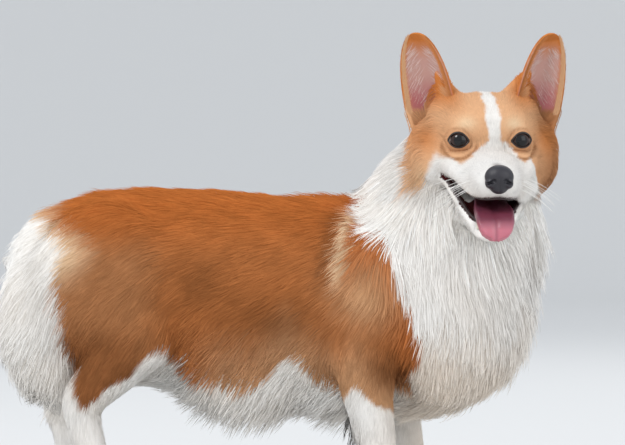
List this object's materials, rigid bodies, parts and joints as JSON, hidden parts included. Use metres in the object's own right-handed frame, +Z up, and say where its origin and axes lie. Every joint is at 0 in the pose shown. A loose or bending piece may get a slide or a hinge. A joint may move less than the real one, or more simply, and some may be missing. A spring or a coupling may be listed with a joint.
{
  "type": "Pembroke Welsh Corgi, adult",
  "caption": "Life-size adult Pembroke Welsh Corgi, red and white, standing, head turned to its right with the mouth open and tongue out.",
  "frame": {"origin": "on the floor under the centre of the whole animal's bounding box", "axes": "+X the way the body faces, +Y the dog's left, +Z up"},
  "size_m": [0.5304, 0.263, 0.4341],
  "materials": {
    "coat_red": "matte",
    "coat_white": "matte",
    "nose_leather": "satin",
    "eye": "gloss",
    "tongue": "satin"
  },
  "bodies": {
    "root": {"head": "coat_red", "lower_jaw": "coat_white", "tongue": "tongue", "nose": "nose_leather", "eye_left": "eye", "eye_right": "eye", "ear_left": "coat_red", "ear_right": "coat_red", "neck": "coat_white", "torso": "coat_red", "rump": "coat_white", "tail": "coat_white", "foreleg_right_shoulder": "coat_red", "foreleg_left_shoulder": "coat_red", "foreleg_right_forearm": "coat_white", "foreleg_left_forearm": "coat_white", "foreleg_right_paw": "coat_white", "foreleg_left_paw": "coat_white", "hindleg_right_thigh": "coat_red", "hindleg_left_thigh": "coat_red", "hindleg_right_shank": "coat_red", "hindleg_left_shank": "coat_red", "hindleg_right_paw": "coat_white", "hindleg_left_paw": "coat_white"}
  },
  "joints": []
}
